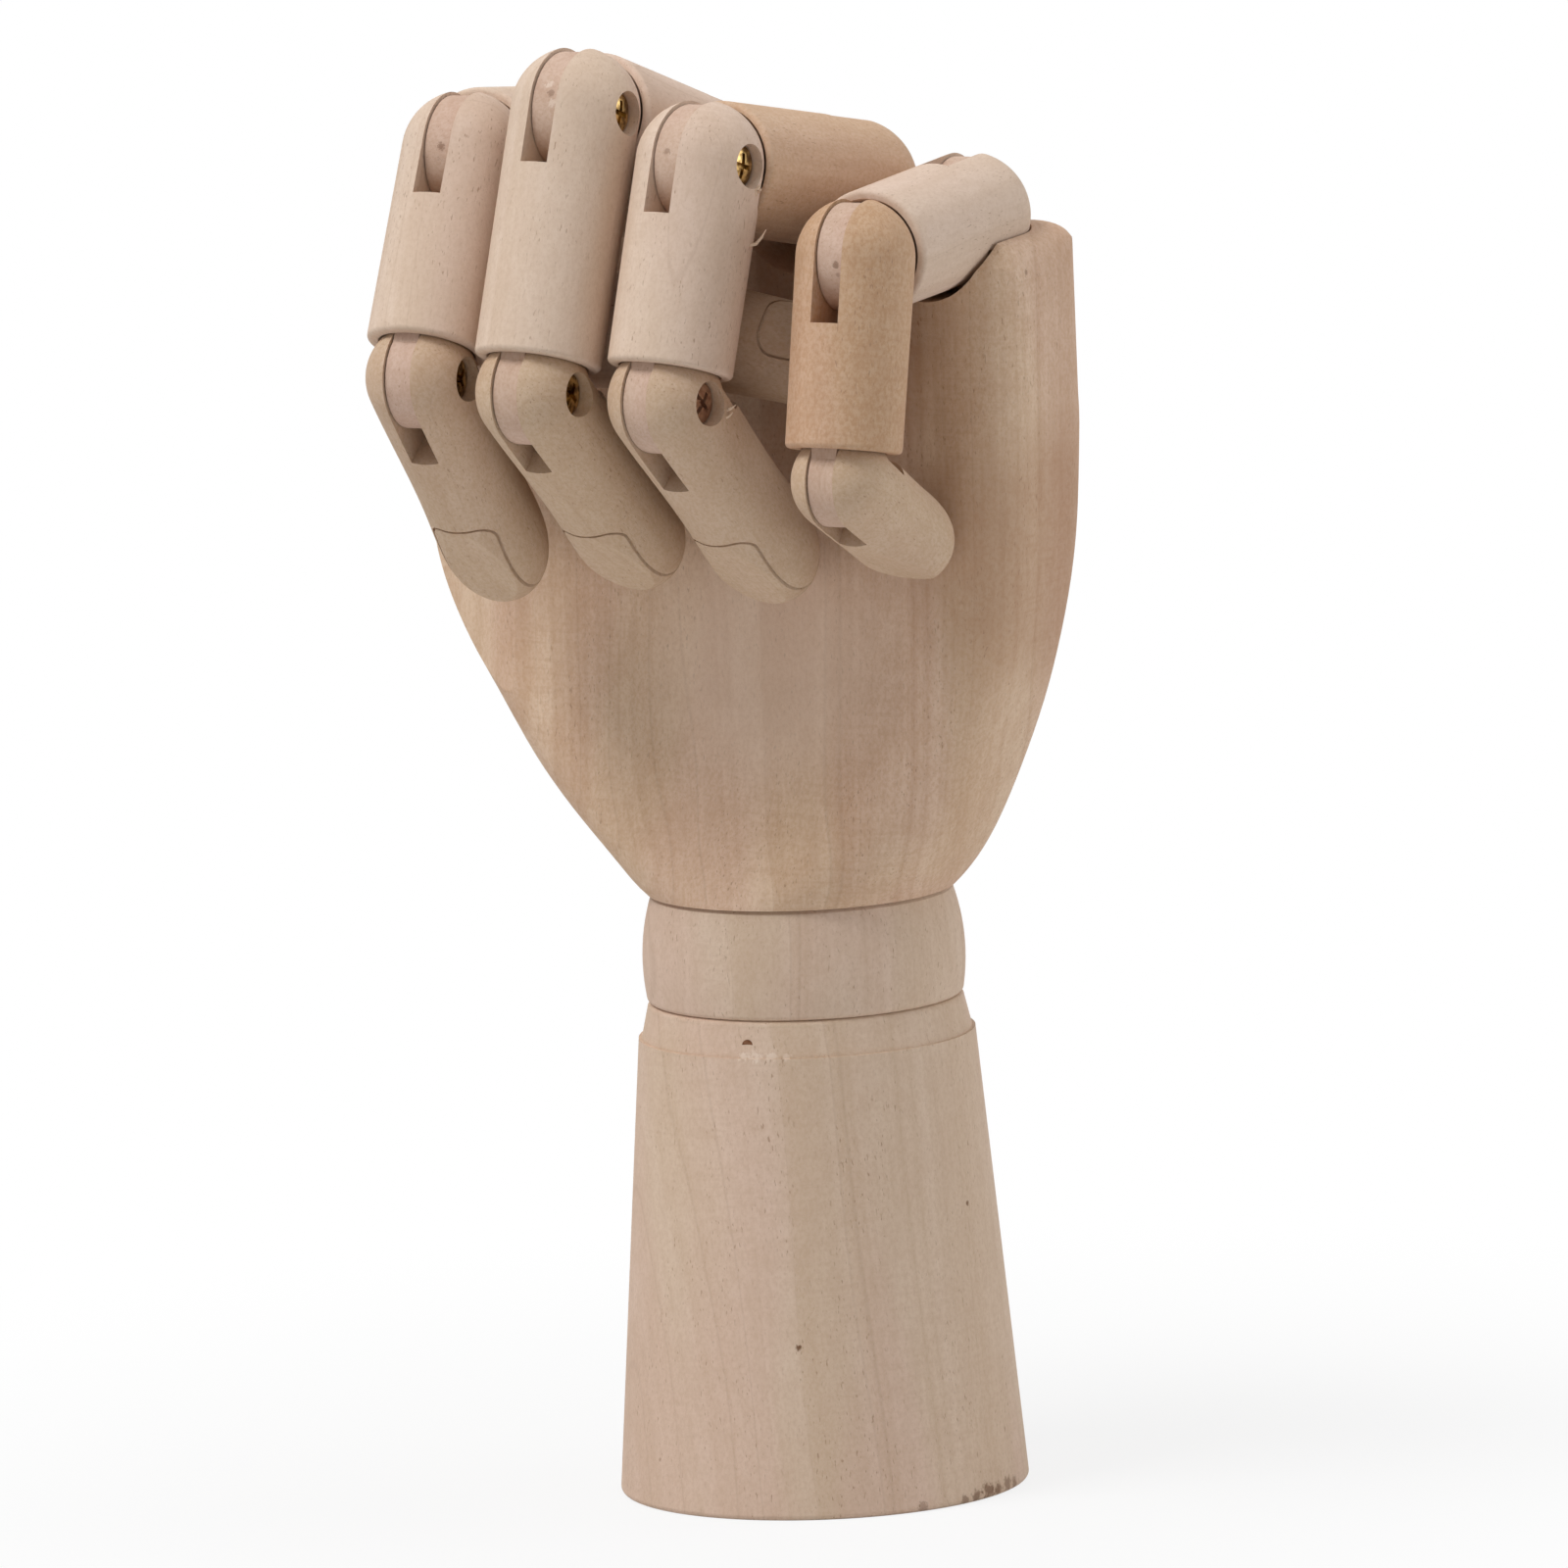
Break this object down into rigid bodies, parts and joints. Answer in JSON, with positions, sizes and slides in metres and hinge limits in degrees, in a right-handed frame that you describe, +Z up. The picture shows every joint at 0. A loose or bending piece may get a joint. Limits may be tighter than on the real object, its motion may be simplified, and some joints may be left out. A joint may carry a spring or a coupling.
{
  "type": "jointed wooden hand",
  "caption": "Jointed wooden hand closed to a fist on a tapered forearm, with screwed finger joints and a sprung wrist.",
  "frame": {"origin": "centre of the forearm's flat underside, on the surface it stands on", "axes": "+Z up along the forearm, the palm faces -Y, the back of the hand +Y, the little finger is at +X, the thumb at -X"},
  "size_m": [0.1024, 0.088, 0.2098],
  "materials": {
    "turned_wood": "fine sanded, unfinished hardwood, straight vertical grain",
    "palm_wood": "fine sanded, unfinished hardwood, straight vertical grain",
    "finger_wood": "fine turned, unfinished hardwood, grain along the finger",
    "tip_wood": "fine turned, unfinished hardwood, a little more yellow",
    "tongue_wood": "sawn and sanded hardwood, a little pinker",
    "screw_brass": "plated screw, slightly dull",
    "pin_steel": "dull wire pin",
    "spring_steel": "plain spring wire"
  },
  "bodies": {
    "forearm": {"forearm": "turned_wood", "forearm_pin": "pin_steel"},
    "wrist_barrel": {"wrist_barrel": "turned_wood"},
    "wrist_link": {"wrist_spring": "spring_steel"},
    "palm": {"palm": "palm_wood", "palm_pin": "pin_steel", "index_peg": "tongue_wood", "middle_peg": "tongue_wood", "ring_peg": "tongue_wood", "little_peg": "tongue_wood"},
    "thumb_peg": {"thumb_peg": "tongue_wood"},
    "index_proximal": {"index_proximal": "finger_wood", "index_proximal_tongue": "tongue_wood", "index_knuckle_screw": "screw_brass"},
    "index_middle": {"index_middle": "finger_wood", "index_middle_tongue": "tongue_wood", "index_middle_screw": "screw_brass"},
    "index_tip": {"index_tip": "tip_wood", "index_tip_screw": "screw_brass"},
    "middle_proximal": {"middle_proximal": "finger_wood", "middle_proximal_tongue": "tongue_wood", "middle_knuckle_screw": "screw_brass"},
    "middle_middle": {"middle_middle": "finger_wood", "middle_middle_tongue": "tongue_wood", "middle_middle_screw": "screw_brass"},
    "middle_tip": {"middle_tip": "tip_wood", "middle_tip_screw": "screw_brass"},
    "ring_proximal": {"ring_proximal": "finger_wood", "ring_proximal_tongue": "tongue_wood", "ring_knuckle_screw": "screw_brass"},
    "ring_middle": {"ring_middle": "finger_wood", "ring_middle_tongue": "tongue_wood", "ring_middle_screw": "screw_brass"},
    "ring_tip": {"ring_tip": "tip_wood", "ring_tip_screw": "screw_brass"},
    "little_proximal": {"little_proximal": "finger_wood", "little_proximal_tongue": "tongue_wood", "little_knuckle_screw": "screw_brass"},
    "little_middle": {"little_middle": "finger_wood", "little_middle_tongue": "tongue_wood", "little_middle_screw": "screw_brass"},
    "little_tip": {"little_tip": "tip_wood", "little_tip_screw": "screw_brass"},
    "thumb_proximal": {"thumb_proximal": "finger_wood", "thumb_proximal_tongue": "tongue_wood", "thumb_knuckle_screw": "screw_brass"},
    "thumb_middle": {"thumb_middle": "finger_wood", "thumb_middle_tongue": "tongue_wood", "thumb_middle_screw": "screw_brass"},
    "thumb_tip": {"thumb_tip": "tip_wood", "thumb_tip_screw": "screw_brass"}
  },
  "joints": [
    {"name": "wrist_turn", "type": "hinge", "parent": "forearm", "child": "wrist_barrel", "pos_m": [0, 0, 0.0703], "axis": [0, 0, 1], "range_deg": [-40, 40]},
    {"name": "wrist_side", "type": "hinge", "parent": "wrist_barrel", "child": "wrist_link", "pos_m": [0, 0, 0.0644], "axis": [0, 1, 0], "range_deg": [-20, 20], "deforming": ["wrist_spring"]},
    {"name": "wrist_bend", "type": "hinge", "parent": "wrist_link", "child": "palm", "pos_m": [0, 0, 0.0644], "axis": [1, 0, 0], "range_deg": [-25, 25]},
    {"name": "index_knuckle", "type": "hinge", "parent": "palm", "child": "index_proximal", "pos_m": [-0.0312, 0, 0.18994], "axis": [0.9976, 0.0698, 0], "range_deg": [-93, 1]},
    {"name": "index_middle_joint", "type": "hinge", "parent": "index_proximal", "child": "index_middle", "pos_m": [-0.02871, -0.03555, 0.19432], "axis": [0.9976, 0.0698, 0], "range_deg": [-75.6, 1.5]},
    {"name": "index_tip_joint", "type": "hinge", "parent": "index_middle", "child": "index_tip", "pos_m": [-0.02764, -0.05088, 0.16467], "axis": [0.9976, 0.0698, 0], "range_deg": [-70.6, 4]},
    {"name": "middle_knuckle", "type": "hinge", "parent": "palm", "child": "middle_proximal", "pos_m": [-0.0089, 0, 0.18744], "axis": [1, -0.0052, 0], "range_deg": [-80, 1.2]},
    {"name": "middle_middle_joint", "type": "hinge", "parent": "middle_proximal", "child": "middle_middle", "pos_m": [-0.00909, -0.03707, 0.20094], "axis": [1, -0.0052, 0], "range_deg": [-95.4, 1.4]},
    {"name": "middle_tip_joint", "type": "hinge", "parent": "middle_middle", "child": "middle_tip", "pos_m": [-0.00917, -0.05121, 0.16331], "axis": [1, -0.0052, 0], "range_deg": [-72.6, 3.4]},
    {"name": "ring_knuckle", "type": "hinge", "parent": "palm", "child": "ring_proximal", "pos_m": [0.0129, 0, 0.18654], "axis": [0.9978, -0.0663, 0], "range_deg": [-88.3, 0.6]},
    {"name": "ring_middle_joint", "type": "hinge", "parent": "ring_proximal", "child": "ring_middle", "pos_m": [0.01049, -0.03635, 0.19409], "axis": [0.9978, -0.0663, 0], "range_deg": [-89.3, 0.8]},
    {"name": "ring_tip_joint", "type": "hinge", "parent": "ring_middle", "child": "ring_tip", "pos_m": [0.00978, -0.04693, 0.1622], "axis": [0.9978, -0.0663, 0], "range_deg": [-68.1, 1.6]},
    {"name": "little_knuckle", "type": "hinge", "parent": "palm", "child": "little_proximal", "pos_m": [0.03165, 0, 0.18284], "axis": [0.999, 0.0454, 0], "range_deg": [-102.7, 0.3]},
    {"name": "little_middle_joint", "type": "hinge", "parent": "little_proximal", "child": "little_middle", "pos_m": [0.03315, -0.03303, 0.18129], "axis": [0.999, 0.0454, 0], "range_deg": [-81.2, 0.3]},
    {"name": "little_tip_joint", "type": "hinge", "parent": "little_middle", "child": "little_tip", "pos_m": [0.03345, -0.03956, 0.15078], "axis": [0.999, 0.0454, 0], "range_deg": [-78, 1]},
    {"name": "thumb_swivel", "type": "hinge", "parent": "palm", "child": "thumb_peg", "pos_m": [-0.04301, -0.01781, 0.15674], "axis": [-0.4333, -0.6304, 0.6441], "range_deg": [-3, 0.5]},
    {"name": "thumb_knuckle", "type": "hinge", "parent": "thumb_peg", "child": "thumb_proximal", "pos_m": [-0.04301, -0.01781, 0.15674], "axis": [-0.0349, 0.7259, 0.6869], "range_deg": [-2, 0.4]},
    {"name": "thumb_middle_joint", "type": "hinge", "parent": "thumb_proximal", "child": "thumb_middle", "pos_m": [-0.02299, -0.02825, 0.1688], "axis": [-0.0349, 0.7259, 0.6869], "range_deg": [-3, 0.5]},
    {"name": "thumb_tip_joint", "type": "hinge", "parent": "thumb_middle", "child": "thumb_tip", "pos_m": [0.00259, -0.02723, 0.16902], "axis": [-0.0349, 0.7259, 0.6869], "range_deg": [-4.5, 1]}
  ]
}
